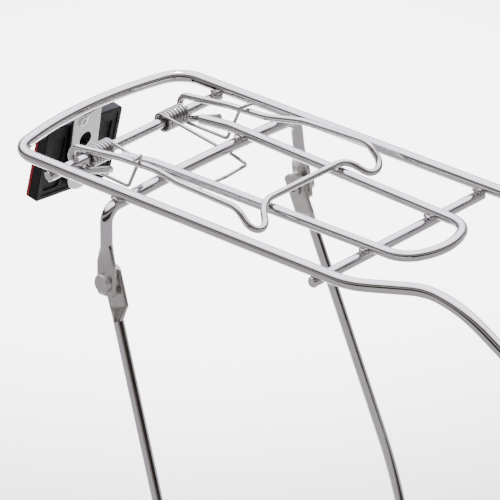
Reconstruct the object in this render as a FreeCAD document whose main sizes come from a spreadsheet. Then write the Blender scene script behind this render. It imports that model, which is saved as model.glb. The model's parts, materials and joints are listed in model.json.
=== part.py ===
import FreeCAD, Part
import math
import os

import Sketcher

# Rear rack for a balloon-tyred cruiser bicycle, with a sprung clip and a reflector.
# Deck coordinates: forward (x) from the middle cross bar's axis, left (y) from the plane of
# symmetry, up (z) from the plane of the two rails' centre lines. The part's own origin is the
# centre between the two front eyes, so deck() moves every deck position there.

# Driving dimensions in millimetres: name, value.
SIZES = [
    ("rail_rod", 8.0),
    ("cross_rod", 7.0),
    ("clip_wire", 4.5),
    ("spring_wire", 2.2),
    ("rail_half_gauge", 75.0),
    ("cross_half_length", 77.4),
    ("cross_chamfer", 0.7),
    ("weld_gap", 0.05),
    ("pivot_back", 58.0),
    ("front_bar_forward", 161.0),
    ("bolt_drop", 55.8),
    ("leg_splay_angle", 4.5),
    ("leg_half_width", 84.7),
    ("leg_tab_width", 15.0),
    ("leg_tab_thick", 3.4),
    ("stay_lean_angle", 18.6),
    ("stay_length", 370.0),
    ("stay_tab_width", 16.0),
    ("stay_tab_thick", 3.2),
    ("stay_rod_offset", 3.0),
    ("axle_half_width", 90.0),
    ("axle_eye_width", 20.0),
    ("axle_hole", 10.5),
    ("front_eye_forward", 324.0),
    ("front_eye_drop", 56.0),
    ("front_eye_half_width", 43.0),
    ("front_eye_width", 16.0),
    ("front_eye_thick", 3.6),
    ("front_eye_hole", 6.2),
    ("bolt_shank", 6.0),
    ("bolt_head", 12.0),
    ("bolt_head_height", 3.0),
    ("bolt_clearance", 0.2),
    ("hinge_clearance", 0.05),
    ("washer_outer", 12.4),
    ("head_washer_thick", 0.6),
    ("spacer_thick", 1.15),
    ("side_play", 0.1),
    ("nut_outer", 9.4),
    ("nut_thick", 1.8),
    ("bracket_width", 24.5),
    ("bracket_thick", 2.6),
    ("bracket_length", 58.0),
    ("bracket_hole", 10.5),
    ("bracket_hole_drop", 20.3),
    ("reflector_lean_angle", 10.7),
    ("stud_drop", 33.0),
    ("stud_rod", 5.0),
    ("reflector_twist_angle", 6.0),
    ("housing_width", 68.5),
    ("housing_height", 52.0),
    ("housing_drop", 7.6),
    ("housing_depth", 7.2),
    ("housing_corner", 2.2),
    ("housing_bevel", 0.6),
    ("lens_depth", 2.2),
    ("lens_rim", 0.9),
    ("boss_depth", 0.8),
    ("boss_outer", 13.0),
    ("stud_washer_outer", 10.0),
    ("stud_washer_thick", 0.9),
    ("stud_nut_corners", 9.24),
    ("stud_nut_thick", 3.0),
]
SIZE = dict(SIZES)
# The middle bar is bowed upwards, so it slopes down at the rails and lifts the inner rail.
CROWN_SLOPE = 0.0533
ON_CROWN = 1.15
INNER_RAIL_TAPER = 0.03
# The legs lean forward a little below the bend in the middle bar.
LEG_CORNER_HEIGHT = -8.61
LEG_FORWARD_SLOPE = 0.035
DRILL_REACH = 20.0
SIDES = (("right", -1), ("left", 1))

doc = FreeCAD.newDocument("rear_rack")
sheet = doc.addObject("Spreadsheet::Sheet", "Sizes")
for row, (alias, value) in enumerate(SIZES, start=1):
    sheet.set("A%d" % row, alias)
    sheet.set("B%d" % row, str(value))
    sheet.setAlias("B%d" % row, alias)
doc.recompute()

nodes = []


def deck(x, y, z):
    """A point given in deck coordinates, in the part's own frame."""
    return FreeCAD.Vector(x - SIZE["front_eye_forward"], y, z + SIZE["front_eye_drop"])


def keep(shape_object, node):
    """Name an object as one of the rack's own pieces."""
    shape_object.Label = node
    nodes.append(shape_object)
    return shape_object


def unit(vector):
    return FreeCAD.Vector(vector).normalize()


def bent_path(corners, radii):
    """A wire of straight runs joined by tangent arcs: one radius for each inner corner."""
    edges = []
    start = corners[0]
    for before, corner, after, radius in zip(corners, corners[1:], corners[2:], radii):
        arriving = unit(corner - before)
        leaving = unit(after - corner)
        half_turn = arriving.getAngle(leaving) / 2
        setback = radius * math.tan(half_turn)
        arc_start = corner - arriving * setback
        arc_end = corner + leaving * setback
        inward = unit(leaving - arriving)
        arc_middle = corner + inward * (radius / math.cos(half_turn) - radius)
        if (arc_start - start).Length > 1e-4:
            edges.append(Part.LineSegment(start, arc_start).toShape())
        edges.append(Part.Arc(arc_start, arc_middle, arc_end).toShape())
        start = arc_end
    edges.append(Part.LineSegment(start, corners[-1]).toShape())
    return Part.Wire(edges)


def swept_rod(name, corners, radii, diameter):
    """A round rod swept along a bent path, its radius bound to the sheet."""
    spine = doc.addObject("Part::Feature", name + "_spine")
    spine.Shape = bent_path(corners, radii)
    section = doc.addObject("Part::Circle", name + "_section")
    section.setExpression("Radius", "Sizes.%s / 2" % diameter)
    along = unit(corners[1] - corners[0])
    section.Placement = FreeCAD.Placement(
        corners[0], FreeCAD.Rotation(FreeCAD.Vector(0, 0, 1), along)
    )
    sweep = doc.addObject("Part::Sweep", name)
    sweep.Sections = [section]
    sweep.Spine = (spine, ["Edge%d" % (i + 1) for i in range(len(spine.Shape.Edges))])
    sweep.Solid = True
    sweep.Frenet = False
    return sweep


def mirrored(corners):
    """The corners and, in reverse order, their mirror images across the plane of symmetry."""
    other_side = [FreeCAD.Vector(p.x, -p.y, p.z) for p in reversed(corners)]
    return corners + other_side


def stadium(centre, along, normal, width, thick):
    """The rounded outline of a flattened rod, seen along it."""
    across = unit(along.cross(normal))
    up = unit(across.cross(along))
    flat = (width - thick) / 2
    half = thick / 2

    def at(sideways, upwards):
        return centre + across * sideways + up * upwards

    return Part.Wire(
        [
            Part.LineSegment(at(-flat, half), at(flat, half)).toShape(),
            Part.Arc(at(flat, half), at(flat + half, 0), at(flat, -half)).toShape(),
            Part.LineSegment(at(flat, -half), at(-flat, -half)).toShape(),
            Part.Arc(at(-flat, -half), at(-flat - half, 0), at(-flat, half)).toShape(),
        ]
    )


def quartered_circle(centre, along, normal, radius):
    """A circle cut into four arcs that match the four edges of a stadium."""
    across = unit(along.cross(normal))
    up = unit(across.cross(along))

    def at(degrees):
        angle = math.radians(degrees)
        return centre + across * (radius * math.cos(angle)) + up * (radius * math.sin(angle))

    corners = (145, 35, -35, -145, -215)
    arcs = []
    for first, last in zip(corners, corners[1:]):
        arcs.append(Part.Arc(at(first), at((first + last) / 2), at(last)).toShape())
    return Part.Wire(arcs)


def flattened(rod_end, tab_start, tab_end, rod_along, normal, radius, width, thick, clip):
    """The pressed end of a rod: a taper from round to flat, then a flat tab.

    With clip the tab is cut square at tab_end and its two corners are clipped by that much;
    without it the tab ends in a half round centred on tab_end.
    """
    along = unit(tab_end - tab_start)
    flat_start = stadium(tab_start, along, normal, width, thick)
    taper = Part.makeLoft([quartered_circle(rod_end, rod_along, normal, radius), flat_start], True)
    run = (tab_end - tab_start).Length
    tab = Part.Face(flat_start).extrude(along * run)
    across = unit(along.cross(normal))
    up = unit(across.cross(along))
    if clip:
        for side in (-1, 1):
            corner = tab_end + across * (side * width / 2)
            points = [
                corner - along * clip,
                corner + along * clip + across * (side * clip),
                corner + along * clip - across * (side * clip),
                corner - across * (side * clip),
            ]
            face = Part.Face(Part.makePolygon([p - up * thick for p in points + points[:1]]))
            tab = tab.cut(face.extrude(up * (2 * thick)))
        return taper.fuse(tab)
    flat = (width - thick) / 2
    rim = Part.Arc(
        tab_end + across * flat + up * (thick / 2),
        tab_end + across * (flat + thick / 2),
        tab_end + across * flat - up * (thick / 2),
    )
    outline = Part.Wire(
        [
            Part.LineSegment(tab_end + up * (thick / 2), rim.value(rim.FirstParameter)).toShape(),
            rim.toShape(),
            Part.LineSegment(rim.value(rim.LastParameter), tab_end - up * (thick / 2)).toShape(),
            Part.LineSegment(tab_end - up * (thick / 2), tab_end + up * (thick / 2)).toShape(),
        ]
    )
    round_end = Part.Face(outline).revolve(tab_end, up, 360)
    return taper.fuse([tab, round_end])


def shape_object(name, shape):
    """A plain feature for a shape that was built with Part's own functions."""
    feature = doc.addObject("Part::Feature", name)
    feature.Shape = shape
    return feature


def drill(name, diameter, centre, axis, reach):
    """A cylinder to cut a hole with, its radius bound to the sheet."""
    tool = doc.addObject("Part::Cylinder", name)
    tool.setExpression("Radius", diameter)
    tool.Height = reach
    middle = centre - unit(axis) * (reach / 2)
    tool.Placement = FreeCAD.Placement(middle, FreeCAD.Rotation(FreeCAD.Vector(0, 0, 1), axis))
    return tool


def joined(name, parts):
    fuse = doc.addObject("Part::MultiFuse", name)
    fuse.Shapes = parts
    fuse.Refine = False
    return fuse


def drilled(name, base, tools):
    """The base with every tool cut out of it."""
    cut = base
    for count, tool in enumerate(tools, start=1):
        step = doc.addObject("Part::Cut", "%s_cut_%d" % (name, count))
        step.Base = cut
        step.Tool = tool
        cut = step
    return keep(cut, name)


def origin_plane(body, role):
    for feature in body.Origin.OriginFeatures:
        if feature.Role == role:
            return feature
    raise RuntimeError("no plane " + role)


def new_body(node):
    body = doc.addObject("PartDesign::Body", node + "_body")
    return keep(body, node)


def flat_sketch(body, name, plane):
    sketch = body.newObject("Sketcher::SketchObject", name)
    sketch.AttachmentSupport = [(origin_plane(body, plane), "")]
    sketch.MapMode = "FlatFace"
    return sketch


def draw_circle(sketch, diameter, centre_up=None):
    """A circle on the sketch's vertical axis, bound to sheet expressions."""
    centre = FreeCAD.Vector(0, 0, 0)
    index = sketch.addGeometry(Part.Circle(centre, FreeCAD.Vector(0, 0, 1), 1.0), False)
    radius = sketch.addConstraint(Sketcher.Constraint("Radius", index, 1.0))
    sketch.setExpression("Constraints[%d]" % radius, "(%s) / 2" % diameter)
    if centre_up is None:
        sketch.addConstraint(Sketcher.Constraint("Coincident", index, 3, -1, 1))
        return
    sketch.addConstraint(Sketcher.Constraint("PointOnObject", index, 3, -2))
    height = sketch.addConstraint(Sketcher.Constraint("DistanceY", -1, 1, index, 3, 1.0))
    sketch.setExpression("Constraints[%d]" % height, centre_up)


def draw_polygon(sketch, points):
    """A closed outline whose corners are pairs of sheet expressions."""
    count = len(points)
    guess = []
    for i in range(count):
        angle = 2 * math.pi * i / count
        guess.append(FreeCAD.Vector(10 * math.cos(angle), 10 * math.sin(angle), 0))
    lines = []
    for i in range(count):
        segment = Part.LineSegment(guess[i], guess[(i + 1) % count])
        lines.append(sketch.addGeometry(segment, False))
    for i in range(count):
        following = lines[(i + 1) % count]
        sketch.addConstraint(Sketcher.Constraint("Coincident", lines[i], 2, following, 1))
    for i, (across, up) in enumerate(points):
        for kind, expression, value in (("X", across, guess[i].x), ("Y", up, guess[i].y)):
            rule = Sketcher.Constraint("Distance" + kind, -1, 1, lines[i], 1, value)
            index = sketch.addConstraint(rule)
            sketch.setExpression("Constraints[%d]" % index, expression)


def turned_body(node, outline, placement):
    """A turned piece: an outline of (radius, height) expressions revolved about its axis."""
    body = new_body(node)
    sketch = flat_sketch(body, node + "_outline", "XZ_Plane")
    draw_polygon(sketch, outline)
    turn = body.newObject("PartDesign::Revolution", node + "_turn")
    turn.Profile = sketch
    turn.ReferenceAxis = (sketch, ["V_Axis"])
    turn.Angle = 360.0
    body.Tip = turn
    body.Placement = placement
    return body


# The rods of the deck.


def make_outer_frame():
    """One rod from the left front eye, back along the deck and to the right front eye."""
    gauge = SIZE["rail_half_gauge"]
    eye_reach = SIZE["front_eye_half_width"]
    tab_run = 9
    taper_run = 12
    last_straight = 9
    eye = deck(SIZE["front_eye_forward"], -eye_reach, -SIZE["front_eye_drop"])
    arm_level = deck(305, -eye_reach, -42)
    arm_along = unit(FreeCAD.Vector(eye.x - arm_level.x, 0, eye.z - arm_level.z))
    tab_start = eye - arm_along * tab_run
    rod_end = tab_start - arm_along * taper_run
    bow = deck(-106.9, 0, 0)
    bow_radius = 244
    half = [
        deck(-88.5, -gauge, 0),
        deck(189, -gauge, 0),
        deck(228, -50.8, -0.4),
        deck(255, -50, -4.6),
        rod_end - arm_along * last_straight,
        rod_end,
    ]
    radii = [19, 38, 36, 62, 20]
    corners = mirrored(list(reversed(half)))
    corners.insert(len(half), bow)
    all_radii = list(reversed(radii)) + [bow_radius] + radii
    parts = [swept_rod("outer_frame_rod", corners, all_radii, "rail_rod")]
    holes = []
    normal = FreeCAD.Vector(0, 1, 0)
    for name, side in SIDES:
        places = [FreeCAD.Vector(p.x, -side * p.y, p.z) for p in (rod_end, tab_start, eye)]
        tab = flattened(
            places[0], places[1], places[2], arm_along, normal,
            SIZE["rail_rod"] / 2, SIZE["front_eye_width"], SIZE["front_eye_thick"], 0,
        )
        parts.append(shape_object(name + "_front_eye", tab))
        hole_name = name + "_front_hole"
        holes.append(drill(hole_name, "Sizes.front_eye_hole / 2", places[2], normal, DRILL_REACH))
    drilled("outer_frame", joined("outer_frame_blank", parts), holes)


def inner_rail_height(x):
    """Height of the inner rail's axis: it rests on the middle bar and on the front bar."""
    front = SIZE["front_bar_forward"]
    on_front_bar = -(SIZE["rail_rod"] + SIZE["cross_rod"]) / 2 + SIZE["cross_rod"]
    return ON_CROWN + (on_front_bar - ON_CROWN) * x / front


def inner_rail_half_width(x):
    return 34.4 - INNER_RAIL_TAPER * x


def make_inner_rail():
    """A long D: two legs under the middle bar's crown and a bowed front end."""
    tail = -34
    tail_height = -1.9
    corners = [deck(tail, -inner_rail_half_width(tail), tail_height)]
    for x in (-8, 190):
        corners.append(deck(x, -inner_rail_half_width(x), inner_rail_height(x)))
    half_count = len(corners)
    corners = mirrored(corners)
    corners.insert(half_count, deck(203.5, 0, inner_rail_height(203.5)))
    keep(swept_rod("inner_rail_rod", corners, [60, 18.7, 41, 18.7, 60], "cross_rod"), "inner_rail")


def make_cross_rod(node, x):
    """A straight rod under the rails, chamfered at both ends."""
    body = new_body(node)
    sketch = flat_sketch(body, node + "_circle", "XY_Plane")
    draw_circle(sketch, "Sizes.cross_rod")
    pad = body.newObject("PartDesign::Pad", node + "_pad")
    pad.Profile = sketch
    pad.setExpression("Length", "2 * Sizes.cross_half_length")
    doc.recompute()
    ends = [
        "Edge%d" % (i + 1)
        for i, edge in enumerate(pad.Shape.Edges)
        if abs(edge.BoundBox.ZLength) < 1e-6
    ]
    chamfer = body.newObject("PartDesign::Chamfer", node + "_chamfer")
    chamfer.Base = (pad, ends)
    chamfer.setExpression("Size", "Sizes.cross_chamfer")
    body.Tip = chamfer
    below = (SIZE["rail_rod"] + SIZE["cross_rod"]) / 2 + SIZE["weld_gap"]
    turn = FreeCAD.Rotation(FreeCAD.Vector(1, 0, 0), -90)
    body.Placement = FreeCAD.Placement(deck(x, -SIZE["cross_half_length"], -below), turn)


def leg_reach(z):
    """Distance of the leg's axis from the plane of symmetry at height z."""
    return SIZE["leg_half_width"] - z * math.tan(math.radians(SIZE["leg_splay_angle"]))


def leg_point(side, z):
    return deck((LEG_CORNER_HEIGHT - z) * LEG_FORWARD_SLOPE, side * leg_reach(z), z)


def leg_normal(side):
    """Outward normal of the leg's flattened tab."""
    splay = math.radians(SIZE["leg_splay_angle"])
    return FreeCAD.Vector(0, side * math.cos(splay), math.sin(splay))


def make_leg_hoop():
    """The middle cross bar and both legs: one rod with flattened, drilled ends."""
    rod_end = -30.5
    tab_start = -43.5
    tab_end = -64.5
    tab_clip = 2.5
    corners = mirrored([leg_point(-1, rod_end), leg_point(-1, LEG_CORNER_HEIGHT)])
    corners.insert(2, deck(0, 0, -4.05))
    parts = [swept_rod("leg_hoop_rod", corners, [10, 1390, 10], "rail_rod")]
    holes = []
    for name, side in SIDES:
        places = [leg_point(side, z) for z in (rod_end, tab_start, tab_end)]
        tab = flattened(
            places[0], places[1], places[2], places[2] - places[0], leg_normal(side),
            SIZE["rail_rod"] / 2, SIZE["leg_tab_width"], SIZE["leg_tab_thick"], tab_clip,
        )
        parts.append(shape_object(name + "_leg_tab", tab))
        bolt = leg_point(side, -SIZE["bolt_drop"])
        size = "Sizes.bolt_shank / 2 + Sizes.bolt_clearance"
        holes.append(drill(name + "_leg_hole", size, bolt, leg_normal(side), DRILL_REACH))
    drilled("leg_hoop", joined("leg_hoop_blank", parts), holes)


def make_weld_beads():
    """Beads that fill the notches where one rod lies across another."""
    gauge = SIZE["rail_half_gauge"]
    rail = SIZE["rail_rod"] / 2
    cross = SIZE["cross_rod"] / 2
    cut_gap = SIZE["weld_gap"] / 2
    middle_height = -rail * 2 - SIZE["weld_gap"]
    below = -(rail + cross) - SIZE["weld_gap"]
    front = SIZE["front_bar_forward"]
    rail_along = FreeCAD.Vector(1, 0, 0)
    crossings = []
    for side in (-1, 1):
        outer_tilt = -side * CROWN_SLOPE
        inner_tilt = outer_tilt * inner_rail_half_width(0) / gauge
        for x, height, radius, tilt in (
            (-SIZE["pivot_back"], below, cross, 0),
            (0, middle_height, rail, outer_tilt),
            (front, below, cross, 0),
        ):
            crossings.append((x, side * gauge, 0, rail, rail_along, height, radius, tilt))
        narrowing = -side * INNER_RAIL_TAPER
        inner_along = FreeCAD.Vector(front, narrowing * front, inner_rail_height(front) - ON_CROWN)
        for x, height, radius, tilt in (
            (0, ON_CROWN - rail - cross - 0.03, rail, inner_tilt),
            (front, below, cross, 0),
        ):
            y = side * inner_rail_half_width(x)
            upper = inner_rail_height(x)
            crossings.append((x, y, upper, cross, inner_along, height, radius, tilt))
    bead_radius = 4.4
    tool_length = 40
    beads = []
    for x, y, upper, upper_radius, upper_along, lower, lower_radius, tilt in crossings:
        contact = (upper - upper_radius + lower + lower_radius) / 2
        bead = Part.makeSphere(bead_radius, deck(x, y, contact))
        tools = []
        for height, radius, along in (
            (upper, upper_radius, upper_along),
            (lower, lower_radius, FreeCAD.Vector(0, 1, tilt)),
        ):
            start = deck(x, y, height) - unit(along) * (tool_length / 2)
            tools.append(Part.makeCylinder(radius + cut_gap, tool_length, start, along))
        beads.extend(bead.cut(tools).Solids)
    keep(shape_object("weld_bead_group", Part.makeCompound(beads)), "weld_beads")


# The sprung clip.


def make_clip_arm():
    """One wire: stub, hook around the pivot rod, arm, V tip, cross bar, and the same again."""
    hook_radius = 7.65
    pivot_x = -SIZE["pivot_back"]
    hook_centre = -5.95
    half_reach = 49
    rear = pivot_x - hook_radius
    stub_rise = math.radians(19.5)
    arm_rise = math.radians(7)
    lower_corner = hook_centre - hook_radius * math.tan(math.pi / 4 + stub_rise / 2)
    upper_corner = hook_centre + hook_radius * math.tan(math.pi / 4 - arm_rise / 2)
    stub_end = -31.5
    knee = -22
    corners = [
        deck(stub_end, -half_reach, lower_corner + (stub_end - rear) * math.tan(stub_rise)),
        deck(rear, -half_reach, lower_corner),
        deck(rear, -half_reach, upper_corner),
        deck(knee, -half_reach, upper_corner + (knee - rear) * math.tan(arm_rise)),
        deck(8, -half_reach - 0.3, 7.5),
        deck(33, -56.5, 9.7),
        deck(84.2, -59, 10.1),
        deck(111.6, -59.2, -16.1),
        deck(85.4, -37.7, 6.6),
    ]
    radii = [hook_radius, hook_radius, 60, 40, 40, 11.8, 7.8, 15.5]
    rod = swept_rod("clip_rod", mirrored(corners), radii + list(reversed(radii)), "clip_wire")
    keep(rod, "clip_arm")


def make_clip_spring():
    """One wire: a coil on each side of the pivot rod, a loop under the middle bar between them
    and a leg from each coil that hooks over the clip's arm."""
    wire = SIZE["spring_wire"] / 2
    coil_radius = 5.75
    turns = 7.5
    coil_inner = 24.0
    coil_outer = 43.4
    pivot_x = -SIZE["pivot_back"]
    pivot_z = -(SIZE["rail_rod"] + SIZE["cross_rod"]) / 2 - SIZE["weld_gap"]
    pitch = (coil_outer - coil_inner) / turns
    climb = pitch / (2 * math.pi * coil_radius)
    pieces = []
    for side in (-1, 1):
        # The helix is made about +Z, starting on +X, then turned so that its axis lies along Y,
        # its start is at the bottom of the pivot rod and it works inwards.
        helix = Part.makeHelix(pitch, pitch * turns, coil_radius, 0, side < 0)
        winding = FreeCAD.Vector(0, side, climb)
        section = Part.Wire(Part.makeCircle(wire, FreeCAD.Vector(coil_radius, 0, 0), winding))
        coil = Part.Wire(helix.Edges).makePipeShell([section], True, True)
        axes = FreeCAD.Matrix(
            0, side * 1.0, 0, pivot_x,
            0, 0, -side * 1.0, side * coil_outer,
            -1, 0, 0, pivot_z,
            0, 0, 0, 1,
        )
        coil = coil.transformed(axes)
        coil.translate(deck(0, 0, 0))
        pieces.append(coil)
        start = deck(pivot_x, side * coil_outer, pivot_z - coil_radius)
        outer_leg = [
            start,
            deck(-21, side * (coil_outer + 1.1), -14.6),
            deck(-8.5, side * (coil_outer + 1.3), 10.9),
            deck(-6.5, side * 53.5, 10.9),
        ]
        end = deck(pivot_x, side * coil_inner, pivot_z + coil_radius)
        inner_leg = [
            end,
            deck(0, side * (coil_inner + 2.5), -12.3),
            deck(14.5, side * (coil_inner + 0.5), -14.3),
            deck(18.2, 0, -12.9),
        ]
        for corners, radii in ((outer_leg, [3, 2.2]), (inner_leg, [30, 3.5])):
            spine = bent_path(corners, radii)
            along = unit(corners[1] - corners[0])
            ring = Part.Wire(Part.makeCircle(wire, corners[0], along))
            pieces.append(spine.makePipeShell([ring], True, False))
    spring = pieces[0].fuse(pieces[1:])
    keep(shape_object("clip_spring_wire", spring), "clip_spring")


# The reflector.


def reflector_place(back):
    """A placement on the leaning bracket: x runs forward from the strip's rear face by -back,
    z runs up the strip from its top edge."""
    lean = FreeCAD.Rotation(FreeCAD.Vector(0, 1, 0), SIZE["reflector_lean_angle"])
    top = deck(-99, 0, -SIZE["rail_rod"] / 2 - SIZE["weld_gap"])
    return FreeCAD.Placement(top + lean.multVec(FreeCAD.Vector(-back, 0, 0)), lean)


def twisted_place(back):
    """A placement for the housing or the lens: turned about the stud, with z running up from
    its top edge."""
    stud = FreeCAD.Vector(0, 0, -SIZE["stud_drop"])
    twist = FreeCAD.Rotation(FreeCAD.Vector(1, 0, 0), -SIZE["reflector_twist_angle"])
    edge = FreeCAD.Vector(0, 0, SIZE["stud_drop"] - SIZE["housing_drop"])
    about_stud = FreeCAD.Placement(stud + twist.multVec(edge), twist)
    return reflector_place(back).multiply(about_stud)


def make_reflector_bracket():
    """A steel strip with a round lower end and a round hole."""
    body = new_body("reflector_bracket")
    sketch = flat_sketch(body, "bracket_outline", "YZ_Plane")
    half = SIZE["bracket_width"] / 2
    bottom = -SIZE["bracket_length"] + half
    top = -0.4
    points = [(-half, top), (half, top), (half, bottom), (-half, bottom)]
    spots = [FreeCAD.Vector(a, b, 0) for a, b in points]
    left_top, right_top, right_bottom, left_bottom = spots
    sketch.addGeometry(Part.LineSegment(left_bottom, left_top), False)
    sketch.addGeometry(Part.LineSegment(left_top, right_top), False)
    sketch.addGeometry(Part.LineSegment(right_top, right_bottom), False)
    low = FreeCAD.Vector(0, bottom - half, 0)
    sketch.addGeometry(Part.Arc(right_bottom, low, left_bottom), False)
    pad = body.newObject("PartDesign::Pad", "bracket_pad")
    pad.Profile = sketch
    pad.setExpression("Length", "Sizes.bracket_thick")
    doc.recompute()
    hole_sketch = flat_sketch(body, "bracket_hole_circle", "YZ_Plane")
    draw_circle(hole_sketch, "Sizes.bracket_hole", "-Sizes.bracket_hole_drop")
    draw_circle(hole_sketch, "Sizes.stud_rod + 0.4", "-Sizes.stud_drop")
    hole = body.newObject("PartDesign::Pocket", "bracket_hole")
    hole.Profile = hole_sketch
    hole.setExpression("Length", "2 * Sizes.bracket_thick")
    hole.Midplane = True
    doc.recompute()
    rims = [
        "Edge%d" % (i + 1)
        for i, edge in enumerate(hole.Shape.Edges)
        if edge.BoundBox.XLength < 1e-6 and edge.BoundBox.YLength > half
        or edge.BoundBox.XLength < 1e-6 and edge.BoundBox.ZLength > half
    ]
    rounding = body.newObject("PartDesign::Fillet", "bracket_edges")
    rounding.Base = (hole, rims)
    rounding.Radius = 0.5
    body.Tip = rounding
    body.Placement = reflector_place(SIZE["bracket_thick"])


def rounded_block(body, name, width, height, depth, corner):
    """A padded rectangle, hanging down from the body's origin, with rounded corners."""
    sketch = flat_sketch(body, name + "_outline", "YZ_Plane")
    half = "Sizes.%s / 2" % width
    points = [
        ("-" + half, "0"),
        (half, "0"),
        (half, "-Sizes." + height),
        ("-" + half, "-Sizes." + height),
    ]
    draw_polygon(sketch, points)
    pad = body.newObject("PartDesign::Pad", name + "_pad")
    pad.Profile = sketch
    pad.setExpression("Length", "Sizes." + depth)
    doc.recompute()
    uprights = [
        "Edge%d" % (i + 1)
        for i, edge in enumerate(pad.Shape.Edges)
        if edge.BoundBox.XLength > 1
    ]
    rounding = body.newObject("PartDesign::Fillet", name + "_corners")
    rounding.Base = (pad, uprights)
    rounding.setExpression("Radius", "Sizes." + corner)
    doc.recompute()
    return rounding


def make_reflector():
    """Housing and lens behind the strip, with the stud, washer and nut that hold them."""
    standoff = SIZE["bracket_thick"] + SIZE["boss_depth"]
    housing = new_body("reflector_housing")
    block = rounded_block(
        housing, "housing", "housing_width", "housing_height", "housing_depth", "housing_corner"
    )
    edges = [
        "Edge%d" % (i + 1)
        for i, edge in enumerate(block.Shape.Edges)
        if edge.BoundBox.XMin > SIZE["housing_depth"] - 0.01
    ]
    bevel = housing.newObject("PartDesign::Chamfer", "housing_bevel")
    bevel.Base = (block, edges)
    bevel.setExpression("Size", "Sizes.housing_bevel")
    doc.recompute()
    boss_sketch = flat_sketch(housing, "housing_boss_circle", "YZ_Plane")
    draw_circle(boss_sketch, "Sizes.boss_outer", "-Sizes.stud_drop + Sizes.housing_drop")
    boss = housing.newObject("PartDesign::Pad", "housing_boss")
    boss.Profile = boss_sketch
    boss.setExpression("Length", "Sizes.housing_depth + Sizes.boss_depth")
    doc.recompute()
    hole_sketch = flat_sketch(housing, "housing_stud_circle", "YZ_Plane")
    draw_circle(hole_sketch, "Sizes.stud_rod", "-Sizes.stud_drop + Sizes.housing_drop")
    hole = housing.newObject("PartDesign::Pocket", "housing_stud_hole")
    hole.Profile = hole_sketch
    hole.setExpression("Length", "Sizes.housing_depth + Sizes.boss_depth + 1")
    hole.Reversed = True
    housing.Tip = hole
    housing.Placement = twisted_place(standoff + SIZE["housing_depth"])

    lens = new_body("reflector_lens")
    rounded_lens = rounded_block(
        lens, "lens", "housing_width", "housing_height", "lens_depth", "housing_corner"
    )
    front_edges = [
        "Edge%d" % (i + 1)
        for i, edge in enumerate(rounded_lens.Shape.Edges)
        if edge.BoundBox.XMax < 0.01
    ]
    soft = lens.newObject("PartDesign::Fillet", "lens_rim")
    soft.Base = (rounded_lens, front_edges)
    soft.setExpression("Radius", "Sizes.lens_rim")
    lens.Tip = soft
    lens.Placement = twisted_place(standoff + SIZE["housing_depth"] + SIZE["lens_depth"])

    forward = FreeCAD.Rotation(FreeCAD.Vector(0, 0, 1), FreeCAD.Vector(1, 0, 0))
    seat = reflector_place(0).multiply(
        FreeCAD.Placement(FreeCAD.Vector(0, 0, -SIZE["stud_drop"]), forward)
    )
    embedded = "-Sizes.bracket_thick - Sizes.boss_depth - Sizes.housing_depth + 1"
    turned_body(
        "reflector_stud",
        [
            ("0", embedded),
            ("Sizes.stud_rod / 2", embedded),
            ("Sizes.stud_rod / 2", "4.6"),
            ("Sizes.stud_rod / 2 - 0.5", "5.1"),
            ("0", "5.1"),
        ],
        seat,
    )
    turned_body(
        "reflector_washer",
        [
            ("Sizes.stud_rod / 2 + 0.2", "0"),
            ("Sizes.stud_washer_outer / 2", "0"),
            ("Sizes.stud_washer_outer / 2", "Sizes.stud_washer_thick"),
            ("Sizes.stud_rod / 2 + 0.2", "Sizes.stud_washer_thick"),
        ],
        seat,
    )
    nut = new_body("reflector_nut")
    sketch = flat_sketch(nut, "nut_outline", "XY_Plane")
    nut_radius = SIZE["stud_nut_corners"] / 2
    hexagon = []
    for i in range(6):
        turn = math.radians(60 * i)
        hexagon.append(FreeCAD.Vector(nut_radius * math.cos(turn), nut_radius * math.sin(turn), 0))
    for i in range(6):
        sketch.addGeometry(Part.LineSegment(hexagon[i], hexagon[(i + 1) % 6]), False)
    draw_circle(sketch, "Sizes.stud_rod + 0.02")
    pad = nut.newObject("PartDesign::Pad", "nut_pad")
    pad.Profile = sketch
    pad.setExpression("Length", "Sizes.stud_nut_thick")
    nut.Tip = pad
    on_washer = FreeCAD.Vector(0, 0, SIZE["stud_washer_thick"] + 0.02)
    lift = FreeCAD.Placement(on_washer, FreeCAD.Rotation())
    nut.Placement = seat.multiply(lift)


# The stays and their bolts.


def stay_plane_offset():
    """Distance from the leg tab's middle plane inwards to the stay tab's middle plane."""
    return (
        SIZE["leg_tab_thick"] / 2
        + 2 * SIZE["spacer_thick"]
        + 2 * SIZE["side_play"]
        + SIZE["stay_tab_thick"] / 2
    )


def stay_along(side):
    """Direction of the stay's upper half, down and forward in the swing plane."""
    lean = math.radians(SIZE["stay_lean_angle"])
    splay = math.radians(SIZE["leg_splay_angle"])
    return FreeCAD.Vector(
        math.sin(lean),
        side * math.cos(lean) * math.sin(splay),
        -math.cos(lean) * math.cos(splay),
    )


def stay_point(side, distance, outward=0.0):
    """A point on the stay's axis, by its distance below the bolt."""
    bolt = leg_point(side, -SIZE["bolt_drop"])
    inwards = stay_plane_offset() - outward
    return bolt - leg_normal(side) * inwards + stay_along(side) * distance


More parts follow.
